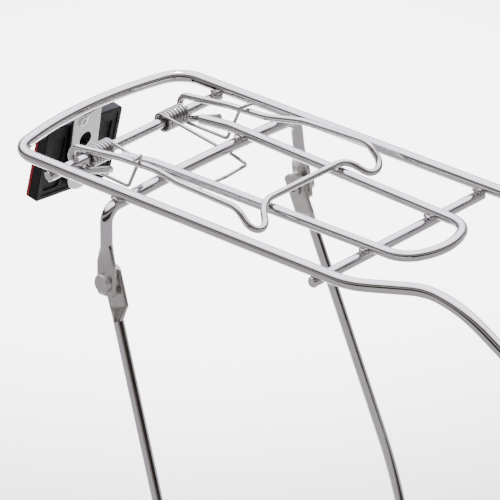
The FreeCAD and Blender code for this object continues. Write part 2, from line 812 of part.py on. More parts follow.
def make_stay(name, side):
    """A rod with a clipped flat tab at the bolt and a round flat eye at the axle."""
    along = stay_along(side)
    normal = leg_normal(side)
    offset = SIZE["stay_rod_offset"]
    radius = SIZE["cross_rod"] / 2
    tab_clip = 3.2
    rod_start = stay_point(side, 25.5, offset)
    knee = stay_point(side, 205, offset)
    axle = stay_point(side, SIZE["stay_length"], offset)
    axle.y = side * SIZE["axle_half_width"]
    flat_along = unit(FreeCAD.Vector(along.x, 0, along.z))
    eye_start = axle - flat_along * 12
    rod_end = axle - flat_along * 30
    ankle = axle - flat_along * 52
    rod = swept_rod(
        name + "_rod", [rod_start, knee, ankle, rod_end], [320, 90], "cross_rod"
    )
    upper = flattened(
        rod_start, stay_point(side, 17), stay_point(side, -9), along * -1, normal,
        radius, SIZE["stay_tab_width"], SIZE["stay_tab_thick"], tab_clip,
    )
    lower = flattened(
        rod_end, eye_start, axle, flat_along, FreeCAD.Vector(0, 1, 0),
        radius, SIZE["axle_eye_width"], SIZE["stay_tab_thick"], 0,
    )
    blank = joined(
        name + "_blank",
        [rod, shape_object(name + "_tab", upper), shape_object(name + "_eye", lower)],
    )
    hinge_size = "Sizes.bolt_shank / 2 + Sizes.hinge_clearance"
    holes = [
        drill(name + "_hinge_hole", hinge_size, stay_point(side, 0), normal, DRILL_REACH),
        drill(name + "_axle_hole", "Sizes.axle_hole / 2", axle, FreeCAD.Vector(0, 1, 0), DRILL_REACH),
    ]
    drilled(name, blank, holes)


def bolt_seat(side):
    """A placement at the bolt: z points outwards along the bolt's axis from the leg tab."""
    outward = FreeCAD.Rotation(FreeCAD.Vector(0, 0, 1), leg_normal(side))
    return FreeCAD.Placement(leg_point(side, -SIZE["bolt_drop"]), outward)


def make_bolt_stack(name, side):
    """Bolt, head washer, two spacer washers and a low round nut."""
    seat = bolt_seat(side)
    shank = "Sizes.bolt_shank / 2"
    under_head = "Sizes.leg_tab_thick / 2 + Sizes.head_washer_thick"
    head_top = under_head + " + Sizes.bolt_head_height"
    nut_outside = (
        "-Sizes.leg_tab_thick / 2 - 2 * Sizes.spacer_thick - 3 * Sizes.side_play"
        " - Sizes.stay_tab_thick"
    )
    shank_end = nut_outside + " - Sizes.nut_thick - 0.3"
    turned_body(
        name + "_stay_bolt",
        [
            ("0", shank_end + " + 2"),
            ("1.6", shank_end + " + 2"),
            ("1.6", shank_end),
            (shank + " - 0.4", shank_end),
            (shank, shank_end + " + 0.4"),
            (shank, under_head),
            ("Sizes.bolt_head / 2", under_head),
            ("Sizes.bolt_head / 2", head_top + " - 0.6"),
            ("Sizes.bolt_head / 2 - 0.6", head_top),
            ("0", head_top),
        ],
        seat,
    )
    inner = shank + " + Sizes.bolt_clearance"
    outer = "Sizes.washer_outer / 2"

    def ring(node, low, high, hole, rim):
        turned_body(node, [(hole, low), (rim, low), (rim, high), (hole, high)], seat)

    ring(name + "_head_washer", "Sizes.leg_tab_thick / 2", under_head, inner, outer)
    for count in (0, 1):
        high = "-Sizes.leg_tab_thick / 2 - %d * (Sizes.spacer_thick + Sizes.side_play)" % count
        low = high + " - Sizes.spacer_thick"
        ring("%s_spacer_%s" % (name, "ab"[count]), low, high, inner, outer)
    thread = shank + " + 0.01"
    ring(name + "_stay_nut", nut_outside + " - Sizes.nut_thick", nut_outside, thread,
         "Sizes.nut_outer / 2")


make_outer_frame()
make_inner_rail()
make_cross_rod("pivot_rod", -SIZE["pivot_back"])
make_cross_rod("front_crossbar", SIZE["front_bar_forward"])
make_leg_hoop()
make_weld_beads()
make_clip_arm()
make_clip_spring()
make_reflector_bracket()
make_reflector()
for side_name, side_sign in SIDES:
    make_stay(side_name + "_stay", side_sign)
    make_bolt_stack(side_name, side_sign)

doc.recompute()
for item in doc.Objects:
    if "Invalid" in item.State or "Error" in item.State:
        raise RuntimeError("%s did not recompute: %s" % (item.Label, item.State))
for item in nodes:
    if item.Shape.isNull() or not item.Shape.isValid() or not item.Shape.Solids:
        raise RuntimeError("%s has no valid solid" % item.Label)

os.makedirs("parts", exist_ok=True)
for item in nodes:
    item.Shape.exportStep("parts/%s.step" % item.Label)
    box = item.Shape.BoundBox
    print(
        "%-20s solids %d volume %9.1f x %7.1f %7.1f y %7.1f %7.1f z %7.1f %7.1f"
        % (item.Label, len(item.Shape.Solids), item.Shape.Volume,
           box.XMin, box.XMax, box.YMin, box.YMax, box.ZMin, box.ZMax)
    )
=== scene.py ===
import json
import math

import bmesh
import bpy
from mathutils import Matrix, Vector, noise


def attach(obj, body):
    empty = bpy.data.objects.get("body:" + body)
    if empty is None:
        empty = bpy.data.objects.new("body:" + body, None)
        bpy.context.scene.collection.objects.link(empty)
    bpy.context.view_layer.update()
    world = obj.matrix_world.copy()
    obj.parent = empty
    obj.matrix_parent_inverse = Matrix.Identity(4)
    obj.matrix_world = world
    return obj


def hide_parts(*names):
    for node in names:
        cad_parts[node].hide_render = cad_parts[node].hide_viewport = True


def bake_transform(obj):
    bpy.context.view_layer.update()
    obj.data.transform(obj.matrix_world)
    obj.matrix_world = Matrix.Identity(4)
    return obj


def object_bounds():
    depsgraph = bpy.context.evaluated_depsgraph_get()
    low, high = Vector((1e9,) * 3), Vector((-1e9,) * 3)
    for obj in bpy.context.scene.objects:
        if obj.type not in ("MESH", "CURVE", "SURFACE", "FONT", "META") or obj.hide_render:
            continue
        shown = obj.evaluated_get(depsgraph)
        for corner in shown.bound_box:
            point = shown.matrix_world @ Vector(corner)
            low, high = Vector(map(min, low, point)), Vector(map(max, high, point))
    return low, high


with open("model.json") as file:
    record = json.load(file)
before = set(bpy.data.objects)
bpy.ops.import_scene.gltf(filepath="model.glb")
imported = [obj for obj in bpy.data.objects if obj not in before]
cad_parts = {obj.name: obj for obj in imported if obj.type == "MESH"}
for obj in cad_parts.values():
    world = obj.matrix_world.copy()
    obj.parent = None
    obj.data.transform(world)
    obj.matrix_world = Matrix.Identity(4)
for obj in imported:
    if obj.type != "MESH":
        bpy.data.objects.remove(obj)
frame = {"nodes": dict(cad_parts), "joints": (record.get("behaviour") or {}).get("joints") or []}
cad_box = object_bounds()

# Deck coordinates, in millimetres: x forward from the middle cross bar, y to the left, z up from
# the plane of the rails' centre lines. The clip turns about the pivot rod, 58 mm behind the bar.
MM = 0.001
joints = {joint["name"]: joint for joint in frame["joints"]}
PIVOT_DECK = Vector((-58.0, 0.0, -7.55))
FRONT_BAR = 161.0
deck_origin = Vector(joints["clip_hinge"]["pos_m"]) - PIVOT_DECK * MM
scene = bpy.context.scene


def deck(x, y, z):
    """A point in deck coordinates, as a place in the frame in metres."""
    return deck_origin + Vector((x, y, z)) * MM


# Camera: a long lens ahead of the rack, to its right and above it. Distances are in metres.
VIEW_AZIMUTH = math.radians(43.458)
VIEW_ELEVATION = math.radians(26.964)
VIEW_ROLL = math.radians(-1.384)
VIEW_DISTANCE = 3.0
VIEW_ASIDE = 0.0295
VIEW_BELOW = 0.0615
VIEW_LENS = 349.3


def make_camera():
    level = Vector((math.cos(VIEW_AZIMUTH), math.sin(VIEW_AZIMUTH), 0.0))
    back = Vector(
        (
            math.sin(VIEW_AZIMUTH) * math.cos(VIEW_ELEVATION),
            -math.cos(VIEW_AZIMUTH) * math.cos(VIEW_ELEVATION),
            math.sin(VIEW_ELEVATION),
        )
    )
    upright = back.cross(level)
    right = level * math.cos(VIEW_ROLL) + upright * math.sin(VIEW_ROLL)
    up = upright * math.cos(VIEW_ROLL) - level * math.sin(VIEW_ROLL)
    data = bpy.data.cameras.new("main_camera")
    data.lens = VIEW_LENS
    data.sensor_width = 36.0
    data.clip_end = 60.0
    camera = bpy.data.objects.new("main_camera", data)
    place = Matrix((right, up, back)).transposed().to_4x4()
    place.translation = deck_origin + right * VIEW_ASIDE - up * VIEW_BELOW + back * VIEW_DISTANCE
    camera.matrix_world = place
    scene.collection.objects.link(camera)
    scene.camera = camera


# Studio: a pale room whose brightest part leans away from the camera, with two dark bands low
# down. A colour stands for each height on the leaning sky, from straight under to straight over.
SKY_LEAN = math.radians(25)
SKY = [
    (-90, (0.42, 0.39, 0.36)),
    (-21, (0.36, 0.33, 0.30)),
    (-17, (0.035, 0.028, 0.023)),
    (0, (0.035, 0.028, 0.023)),
    (4, (0.50, 0.47, 0.45)),
    (12, (0.62, 0.60, 0.57)),
    (16, (0.09, 0.078, 0.070)),
    (28, (0.09, 0.078, 0.070)),
    (32, (0.62, 0.60, 0.60)),
    (40, (2.60, 2.50, 2.85)),
    (54, (3.80, 3.65, 4.20)),
    (90, (3.80, 3.65, 4.20)),
]
LAMP_OFFSET = Vector((-0.58, 0.61, 2.6))
FLOOR_REACH = 30.0


def light_world():
    world = bpy.data.worlds.new("studio")
    scene.world = world
    world.use_nodes = True
    tree = world.node_tree
    tree.nodes.clear()
    away = Vector((-math.sin(VIEW_AZIMUTH), math.cos(VIEW_AZIMUTH), 0.0))
    leaning_up = Vector((0, 0, 1)) * math.cos(SKY_LEAN) + away * math.sin(SKY_LEAN)
    coords = tree.nodes.new("ShaderNodeTexCoord")
    lift = add_math(
        tree, "ShaderNodeVectorMath", "DOT_PRODUCT", coords.outputs["Generated"], leaning_up
    )
    height = add_range(tree, lift.outputs["Value"], 0.0, 1.0, from_low=-1.0, from_high=1.0)
    ramp = tree.nodes.new("ShaderNodeValToRGB")
    stops = ramp.color_ramp.elements
    while len(stops) < len(SKY):
        stops.new(0.5)
    for stop, (angle, colour) in zip(stops, SKY):
        stop.position = (math.sin(math.radians(angle)) + 1) / 2
        stop.color = (*colour, 1.0)
    tree.links.new(height, ramp.inputs["Fac"])
    background = tree.nodes.new("ShaderNodeBackground")
    tree.links.new(ramp.outputs["Color"], background.inputs["Color"])
    out = tree.nodes.new("ShaderNodeOutputWorld")
    tree.links.new(background.outputs["Background"], out.inputs["Surface"])


def backdrop_light():
    """A soft pool of light on the part of the floor that the camera sees behind the object."""
    data = bpy.data.lights.new("backdrop_light", "SPOT")
    data.energy = 6800.0
    data.color = (0.93, 0.95, 1.0)
    data.spot_size = math.radians(25)
    data.spot_blend = 0.4
    data.shadow_soft_size = 0.3
    lamp = bpy.data.objects.new("backdrop_light", data)
    lamp.location = deck_origin + LAMP_OFFSET
    scene.collection.objects.link(lamp)


def make_floor():
    low = cad_box[0][2]
    reach = FLOOR_REACH
    mesh = bpy.data.meshes.new("floor")
    corners = [(-reach, -reach, low), (reach, -reach, low), (reach, reach, low), (-reach, reach, low)]
    mesh.from_pydata(corners, [], [(0, 1, 2, 3)])
    floor = bpy.data.objects.new("floor", mesh)
    scene.collection.objects.link(floor)
    material, tree, shader = new_material("floor_paper", (0.325, 0.318, 0.295), 0.9)
    grain = add_noise(tree, scale=900.0, detail=2.0)
    add_bump(tree, shader, grain, strength=0.05, distance=0.05 * MM)
    mesh.materials.append(material)


# Materials. The scale of a noise is in waves for each metre.
PLATE = (0.60, 0.59, 0.60)
LATHE_PITCH = 0.28


def new_material(name, colour, roughness, metallic=0.0):
    material = bpy.data.materials.new(name)
    material.use_nodes = True
    tree = material.node_tree
    shader = tree.nodes["Principled BSDF"]
    shader.inputs["Base Color"].default_value = (*colour, 1.0)
    shader.inputs["Roughness"].default_value = roughness
    shader.inputs["Metallic"].default_value = metallic
    return material, tree, shader


def add_math(tree, kind, operation, *values):
    """A maths node that takes sockets or plain values."""
    node = tree.nodes.new(kind)
    node.operation = operation
    for socket, value in zip(node.inputs, values):
        if isinstance(value, bpy.types.NodeSocket):
            tree.links.new(value, socket)
        else:
            socket.default_value = value
    return node


def add_noise(tree, scale, detail):
    coords = tree.nodes.new("ShaderNodeTexCoord")
    texture = tree.nodes.new("ShaderNodeTexNoise")
    texture.inputs["Scale"].default_value = scale
    texture.inputs["Detail"].default_value = detail
    tree.links.new(coords.outputs["Object"], texture.inputs["Vector"])
    return texture.outputs["Fac"]


def add_range(tree, value, low, high, from_low=0.3, from_high=0.7):
    """The value, spread from its own range over low to high."""
    spread = tree.nodes.new("ShaderNodeMapRange")
    spread.inputs["From Min"].default_value = from_low
    spread.inputs["From Max"].default_value = from_high
    spread.inputs["To Min"].default_value = low
    spread.inputs["To Max"].default_value = high
    tree.links.new(value, spread.inputs["Value"])
    return spread.outputs["Result"]


def add_roughness(tree, shader, marks, smooth, rough):
    tree.links.new(add_range(tree, marks, smooth, rough), shader.inputs["Roughness"])


def add_tint(tree, shader, value, clean, marked):
    mix = tree.nodes.new("ShaderNodeMix")
    mix.data_type = "RGBA"
    mix.inputs["A"].default_value = (*clean, 1.0)
    mix.inputs["B"].default_value = (*marked, 1.0)
    tree.links.new(value, mix.inputs["Factor"])
    tree.links.new(mix.outputs["Result"], shader.inputs["Base Color"])


def add_bump(tree, shader, height, strength, distance, before=None):
    """A bump on the shader, on top of the bump before it."""
    bump = tree.nodes.new("ShaderNodeBump")
    bump.inputs["Strength"].default_value = strength
    bump.inputs["Distance"].default_value = distance
    tree.links.new(height, bump.inputs["Height"])
    if before is not None:
        tree.links.new(before.outputs["Normal"], bump.inputs["Normal"])
    tree.links.new(bump.outputs["Normal"], shader.inputs["Normal"])
    return bump


def add_wave(tree, shader, distance, before):
    """A slow wave that makes a bright surface's reflections run."""
    slow = add_noise(tree, scale=70.0, detail=2.0)
    add_bump(tree, shader, slow, strength=0.25, distance=distance, before=before)


def plated_steel(name, colour, dull, smooth, rough, wave):
    """Bright plate with faint hand marks in its roughness, small pits and a slight wave."""
    material, tree, shader = new_material(name, colour, smooth, metallic=1.0)
    add_roughness(tree, shader, add_noise(tree, scale=95.0, detail=5.0), smooth, rough)
    pits = add_noise(tree, scale=1500.0, detail=2.0)
    spots = add_range(tree, pits, 0.0, 1.0, from_low=0.68, from_high=0.78)
    add_tint(tree, shader, spots, clean=colour, marked=dull)
    drawn = add_noise(tree, scale=2600.0, detail=2.0)
    fine = add_bump(tree, shader, drawn, strength=0.10, distance=0.03 * MM)
    add_wave(tree, shader, wave, fine)
    return material


def pressed_steel(name, rod_end, tab_end):
    """Bright plate on the rod that turns to satin plate with a fine grain on its pressed tab,
    between two heights in deck coordinates."""
    material, tree, shader = new_material(name, PLATE, 0.1, metallic=1.0)
    coords = tree.nodes.new("ShaderNodeTexCoord")
    split = tree.nodes.new("ShaderNodeSeparateXYZ")
    tree.links.new(coords.outputs["Object"], split.inputs["Vector"])
    limits = [deck(0, 0, height).z for height in (rod_end, tab_end)]
    pressed = add_range(tree, split.outputs["Z"], 0.0, 1.0, *limits)
    polish = add_range(tree, add_noise(tree, scale=95.0, detail=5.0), 0.07, 0.14)
    grain = add_noise(tree, scale=1100.0, detail=4.0)
    satin = add_range(tree, grain, 0.24, 0.42)
    blend = tree.nodes.new("ShaderNodeMix")
    tree.links.new(pressed, blend.inputs["Factor"])
    tree.links.new(polish, blend.inputs["A"])
    tree.links.new(satin, blend.inputs["B"])
    tree.links.new(blend.outputs["Result"], shader.inputs["Roughness"])
    add_tint(tree, shader, pressed, clean=PLATE, marked=(0.49, 0.48, 0.455))
    texture = add_math(tree, "ShaderNodeMath", "MULTIPLY", grain, pressed)
    fine = add_bump(tree, shader, texture.outputs[0], strength=0.35, distance=0.06 * MM)
    add_wave(tree, shader, 0.10 * MM, fine)
    return material


def weld_metal():
    material, tree, shader = new_material("plated_weld", (0.58, 0.57, 0.56), 0.2, metallic=1.0)
    marks = add_noise(tree, scale=400.0, detail=4.0)
    add_roughness(tree, shader, marks, 0.14, 0.38)
    spots = add_range(tree, marks, 0.0, 1.0)
    add_tint(tree, shader, spots, clean=(0.60, 0.59, 0.59), marked=(0.42, 0.40, 0.38))
    uneven = add_noise(tree, scale=500.0, detail=2.0)
    add_bump(tree, shader, uneven, strength=0.2, distance=0.1 * MM)
    return material


def turned_steel(name, centre, axis):
    """Satin plate with fine rings round an axis, as a lathe leaves them."""
    material, tree, shader = new_material(name, (0.56, 0.55, 0.53), 0.34, metallic=1.0)
    coords = tree.nodes.new("ShaderNodeTexCoord")
    vector_math = "ShaderNodeVectorMath"
    shift = add_math(tree, vector_math, "SUBTRACT", coords.outputs["Object"], centre)
    cross = add_math(tree, vector_math, "CROSS_PRODUCT", shift.outputs["Vector"], axis)
    radius = add_math(tree, vector_math, "LENGTH", cross.outputs["Vector"])
    rate = 2 * math.pi / (LATHE_PITCH * MM)
    turns = add_math(tree, "ShaderNodeMath", "MULTIPLY", radius.outputs["Value"], rate)
    ridges = add_math(tree, "ShaderNodeMath", "SINE", turns.outputs[0])
    marks = add_noise(tree, scale=500.0, detail=4.0)
    add_roughness(tree, shader, marks, 0.30, 0.44)
    spots = add_range(tree, marks, 0.0, 1.0)
    add_tint(tree, shader, spots, clean=(0.58, 0.57, 0.55), marked=(0.48, 0.465, 0.45))
    rings = add_bump(tree, shader, ridges.outputs[0], strength=0.10, distance=0.01 * MM)
    grain = add_noise(tree, scale=1400.0, detail=3.0)
    add_bump(tree, shader, grain, strength=0.10, distance=0.03 * MM, before=rings)
    return material


def black_plastic():
    material, tree, shader = new_material("black_moulding", (0.010, 0.009, 0.011), 0.42)
    shader.inputs["Specular IOR Level"].default_value = 0.18
    add_roughness(tree, shader, add_noise(tree, scale=120.0, detail=4.0), 0.42, 0.58)
    dust = add_noise(tree, scale=260.0, detail=6.0)
    spots = add_range(tree, dust, 0.0, 0.55, from_low=0.45, from_high=0.85)
    add_tint(tree, shader, spots, clean=(0.009, 0.008, 0.010), marked=(0.024, 0.022, 0.024))
    grain = add_noise(tree, scale=2200.0, detail=2.0)
    add_bump(tree, shader, grain, strength=0.22, distance=0.06 * MM)
    return material


def red_acrylic():
    material, tree, shader = new_material("red_acrylic", (0.42, 0.010, 0.022), 0.06)
    shader.inputs["IOR"].default_value = 1.49
    shader.inputs["Transmission Weight"].default_value = 0.45
    add_roughness(tree, shader, add_noise(tree, scale=300.0, detail=4.0), 0.04, 0.12)
    ripple = add_noise(tree, scale=150.0, detail=2.0)
    add_bump(tree, shader, ripple, strength=0.05, distance=0.1 * MM)
    return material


def red_prisms():
    material, tree, shader = new_material("red_prisms", (0.36, 0.015, 0.028), 0.15, metallic=0.55)
    marks = add_noise(tree, scale=350.0, detail=3.0)
    add_roughness(tree, shader, marks, 0.10, 0.25)
    spots = add_range(tree, marks, 0.0, 1.0)
    add_tint(tree, shader, spots, clean=(0.40, 0.015, 0.028), marked=(0.30, 0.010, 0.020))
    return material


# Mesh helpers.
ARC_STEP = 9.0
CORNER_STEPS = 7
END_CHAMFER = 0.2


def finish_piece(mesh, name, material, body):
    """An object for the mesh, with its material, slot and body. A piece that blends has no body."""
    piece = bpy.data.objects.new(name, mesh)
    scene.collection.objects.link(piece)
    piece.data.materials.append(material)
    if body:
        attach(piece, body)
    return piece


def mesh_from(shape, name):
    mesh = bpy.data.meshes.new(name)
    shape.to_mesh(mesh)
    shape.free()
    return mesh


def bridge(shape, loops):
    """Four-sided faces from each loop of vertices to the next."""
    count = len(loops[0])
    faces = []
    for first, second in zip(loops, loops[1:]):
        for i in range(count):
            j = (i + 1) % count
            faces.append(shape.faces.new((first[i], first[j], second[j], second[i])))
    return faces


def close_ends(shape, loops):
    shape.faces.new(list(reversed(loops[0])))
    shape.faces.new(loops[-1])


def ring_angles(count):
    return [2 * math.pi * i / count for i in range(count)]


def bent_path(corners, radii):
    """Points along straight runs joined by arcs, one radius in millimetres per inner corner."""
    points = [corners[0]]
    for before, corner, after, radius in zip(corners, corners[1:], corners[2:], radii):
        arriving = (corner - before).normalized()
        leaving = (after - corner).normalized()
        turn = arriving.angle(leaving)
        setback = radius * MM * math.tan(turn / 2)
        inward = (leaving - arriving).normalized()
        centre = corner + inward * (radius * MM / math.cos(turn / 2))
        axis = arriving.cross(leaving).normalized()
        spoke = corner - arriving * setback - centre
        count = max(2, math.ceil(math.degrees(turn) / ARC_STEP))
        for i in range(count + 1):
            points.append(centre + Matrix.Rotation(turn * i / count, 3, axis) @ spoke)
    points.append(corners[-1])
    return points


def tube_mesh(name, points, radius, sides):
    """A round wire along the points, with small chamfers at both ends."""
    path = [points[0]]
    for point in points[1:]:
        if (point - path[-1]).length > 1e-6:
            path.append(point)
    along = [(b - a).normalized() for a, b in zip(path, path[1:])]
    tangents = [along[0]] + [(a + b).normalized() for a, b in zip(along, along[1:])] + [along[-1]]
    chamfer = radius * END_CHAMFER
    end_radius = radius * (1 - END_CHAMFER)
    rings = [(path[0], tangents[0], end_radius)]
    rings.append((path[0] + tangents[0] * chamfer, tangents[0], radius))
    for point, tangent in zip(path[1:-1], tangents[1:-1]):
        rings.append((point, tangent, radius))
    rings.append((path[-1] - tangents[-1] * chamfer, tangents[-1], radius))
    rings.append((path[-1], tangents[-1], end_radius))
    normal = tangents[0].orthogonal().normalized()
    shape = bmesh.new()
    loops = []
    for centre, tangent, size in rings:
        normal = (normal - tangent * normal.dot(tangent)).normalized()
        side = tangent.cross(normal)
        loop = []
        for angle in ring_angles(sides):
            offset = normal * math.cos(angle) + side * math.sin(angle)
            loop.append(shape.verts.new(centre + offset * size))
        loops.append(loop)
    for face in bridge(shape, loops):
        face.smooth = True
    close_ends(shape, loops)
    shape.normal_update()
    return mesh_from(shape, name)


def rounded_outline(width, height, corner):
    """A rounded rectangle about the origin as (across, up) pairs in millimetres."""
    outline = []
    for quarter, (sign_x, sign_y) in enumerate(((1, 1), (-1, 1), (-1, -1), (1, -1))):
        centre_x = sign_x * (width / 2 - corner)
        centre_y = sign_y * (height / 2 - corner)
        for i in range(CORNER_STEPS + 1):
            angle = math.pi / 2 * (quarter + i / CORNER_STEPS)
            outline.append((centre_x + corner * math.cos(angle), centre_y + corner * math.sin(angle)))
    return outline


def lofted(name, sections, place):
    """A closed solid through (depth, outline) sections; depth runs along -x of the placement."""
    shape = bmesh.new()
    loops = []
    for depth, outline in sections:
        loop = [shape.verts.new(place @ (Vector((-depth, a, b)) * MM)) for a, b in outline]
        loops.append(loop)
    bridge(shape, loops)
    close_ends(shape, loops)
    bmesh.ops.recalc_face_normals(shape, faces=shape.faces)
    return mesh_from(shape, name)


def cut_and_soften(mesh, name, cutters, softness):
    """The mesh with the cutters taken out and its edges rounded."""
    piece = bpy.data.objects.new(name, mesh)
    scene.collection.objects.link(piece)
    tools = []
    for number, cutter in enumerate(cutters):
        tool = bpy.data.objects.new("%s_cutter_%d" % (name, number), cutter)
        scene.collection.objects.link(tool)
        cut = piece.modifiers.new("cut_%d" % number, "BOOLEAN")
        cut.operation = "DIFFERENCE"
        cut.solver = "EXACT"
        cut.object = tool
        tools.append(tool)
    bevel = piece.modifiers.new("soften", "BEVEL")
    bevel.width = softness * MM
    bevel.segments = 3
    bevel.limit_method = "ANGLE"
    bevel.angle_limit = math.radians(25)
    bevel.harden_normals = True
    result = bpy.data.meshes.new_from_object(
        piece.evaluated_get(bpy.context.evaluated_depsgraph_get())
    )
    for thing in tools + [piece]:
        bpy.data.objects.remove(thing)
    return result


# Reflector: it hangs from the rear hoop on a leaning strip, turned a little about its stud.
# Depths are measured rearward from the strip's front face, sizes are in millimetres.
STRIP_LEAN = math.radians(10.7)
STRIP_TOP = deck(-99.0, 0.0, -4.05)
STRIP_THICK = 2.6
STUD_DROP = 33.0
HOUSING_TWIST = math.radians(6.0)
HOUSING_FRONT = 3.4
HOUSING_DEPTH = 7.2
HOUSING_WIDTH = 68.5
HOUSING_HEIGHT = 52.0
HOUSING_MIDDLE = 33.6
HOUSING_CORNER = 2.2
HOUSING_BEVEL = 0.6
HOUSING_SOFTNESS = 0.3
GROOVE_INSET = 0.4
GROOVE_HEIGHT = 0.7
BOSS_RADIUS = 6.2
BOSS_SIDES = 40
BOSS_CLEARANCE = 0.02
BOSS_SINK = 0.8
LENS_DEPTH = 2.2
LENS_RIM = 0.9
LENS_RIM_STEPS = 5
PRISM_PITCH = 2.3
PRISM_MARGIN = 7.0
PRISM_FLOOR = 0.25
PRISM_HEIGHT = 1.25
# Recesses in the case's front: width, height, corner radius, place across, place up and depth.
CUTTER_REACH = 1.0
RECESSES = [
    (HOUSING_WIDTH - 7.0, HOUSING_HEIGHT - 6.0, 1.6, 0.0, 0.0, 0.55),
    (11.0, 31.0, 1.0, -21.5, 2.0, 1.7),
    (11.0, 31.0, 1.0, 21.5, 2.0, 1.7),
    (15.0, 5.6, 2.7, -22.0, -17.0, 1.5),
]
strip_place = Matrix.Translation(STRIP_TOP) @ Matrix.Rotation(STRIP_LEAN, 4, "Y")
stud_place = strip_place @ Matrix.Translation(Vector((0, 0, -STUD_DROP)) * MM)
turned_place = stud_place @ Matrix.Rotation(-HOUSING_TWIST, 4, "X")
housing_place = turned_place @ Matrix.Translation(Vector((0, 0, STUD_DROP - HOUSING_MIDDLE)) * MM)


def recess_cutter(width, height, corner, across, up, depth):
    outline = [(a + across, b + up) for a, b in rounded_outline(width, height, corner)]
    near = HOUSING_FRONT - CUTTER_REACH
    far = HOUSING_FRONT + depth
    return lofted("cutter", [(near, outline), (far, outline)], housing_place)


def housing_outline(inset):
    """The case's outline, drawn in by the inset on every side."""
    return rounded_outline(
        HOUSING_WIDTH - 2 * inset, HOUSING_HEIGHT - 2 * inset, HOUSING_CORNER - inset
    )


def make_housing(material):
    front = HOUSING_FRONT
    rear = front + HOUSING_DEPTH
    sections = [
        (front, housing_outline(HOUSING_BEVEL)),
        (front + HOUSING_BEVEL, housing_outline(0.0)),
        (rear - GROOVE_HEIGHT, housing_outline(0.0)),
        (rear - GROOVE_HEIGHT, housing_outline(GROOVE_INSET)),
        (rear, housing_outline(GROOVE_INSET)),
    ]
    body = lofted("housing", sections, housing_place)
    cutters = [recess_cutter(*sizes) for sizes in RECESSES]
    mesh = cut_and_soften(body, "reflector_case", cutters, HOUSING_SOFTNESS)
    piece = finish_piece(mesh, "reflector_case", material, "rack_frame")
    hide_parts("reflector_housing")
    outline = [
        (BOSS_RADIUS * math.cos(a), BOSS_RADIUS * math.sin(a) + HOUSING_MIDDLE - STUD_DROP)
        for a in ring_angles(BOSS_SIDES)
    ]
    ends = [(STRIP_THICK + BOSS_CLEARANCE, outline), (front + BOSS_SINK, outline)]
    boss = lofted("case_boss", ends, housing_place)
    finish_piece(boss, "case_boss", material, "rack_frame")


def make_lens(material):
    """The clear red window, with a rounded rim."""
    near = HOUSING_FRONT + HOUSING_DEPTH
    far = near + LENS_DEPTH
    sections = [(near, housing_outline(0.0))]
    for step in range(LENS_RIM_STEPS + 1):
        angle = math.pi / 2 * step / LENS_RIM_STEPS
        inset = LENS_RIM * (1 - math.cos(angle))
        depth = far - LENS_RIM * (1 - math.sin(angle))
        sections.append((depth, housing_outline(inset)))
    mesh = lofted("lens", sections, housing_place)
    for face in mesh.polygons:
        face.use_smooth = len(face.vertices) == 4
    piece = finish_piece(mesh, "reflector_window", material, "rack_frame")
    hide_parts("reflector_lens")


def make_prisms(material):
    """A field of small pyramids inside the window, which catch the light as a reflector does."""
    floor = HOUSING_FRONT + HOUSING_DEPTH + PRISM_FLOOR
    columns = int((HOUSING_WIDTH - PRISM_MARGIN) / PRISM_PITCH)
    rows = int((HOUSING_HEIGHT - PRISM_MARGIN) / PRISM_PITCH)
    half = PRISM_PITCH / 2
    base = [(-half, -half), (half, -half), (half, half), (-half, half)]
    shape = bmesh.new()
    for column in range(columns):
        for row in range(rows):
            across = (column - (columns - 1) / 2) * PRISM_PITCH
            up = (row - (rows - 1) / 2) * PRISM_PITCH
            ring = [
                shape.verts.new(housing_place @ (Vector((-floor, across + a, up + b)) * MM))
                for a, b in base
            ]
            peak = Vector((-floor - PRISM_HEIGHT, across, up)) * MM
            tip = shape.verts.new(housing_place @ peak)
            for i in range(4):
                shape.faces.new((ring[i], ring[(i + 1) % 4], tip))
            shape.faces.new(list(reversed(ring)))
    bmesh.ops.remove_doubles(shape, verts=shape.verts, dist=1e-6)
    bmesh.ops.recalc_face_normals(shape, faces=shape.faces)
    mesh = mesh_from(shape, "prisms")
    finish_piece(mesh, "reflector_prisms", material, "rack_frame")


# The torsion spring: two mirrored halves of one wire, each of which winds up as the clip opens.
# The outer end hooks over the clip's arm. The inner end passes under the middle cross bar and meets
# the other half. Points are in deck coordinates, with the distance to the side for y.
SPRING_WIRE = 1.1
SPRING_SIDES = 16
COIL_RADIUS = 5.75
COIL_TURNS = 7.5
COIL_INNER = 24.0
COIL_OUTER = 43.4
COIL_STEPS = 36
HOOK = [
    (-6.5, 53.5, 10.9),
    (-8.5, COIL_OUTER + 1.3, 10.9),
    (-21.0, COIL_OUTER + 1.1, -14.6),
]
HOOK_RADII = [2.2, 3]
INNER_LEG = [
    (0.0, COIL_INNER + 2.5, -12.3),
    (14.5, COIL_INNER + 0.5, -14.3),
    (18.2, 0.0, -12.9),
]
INNER_LEG_RADII = [30, 3.5]


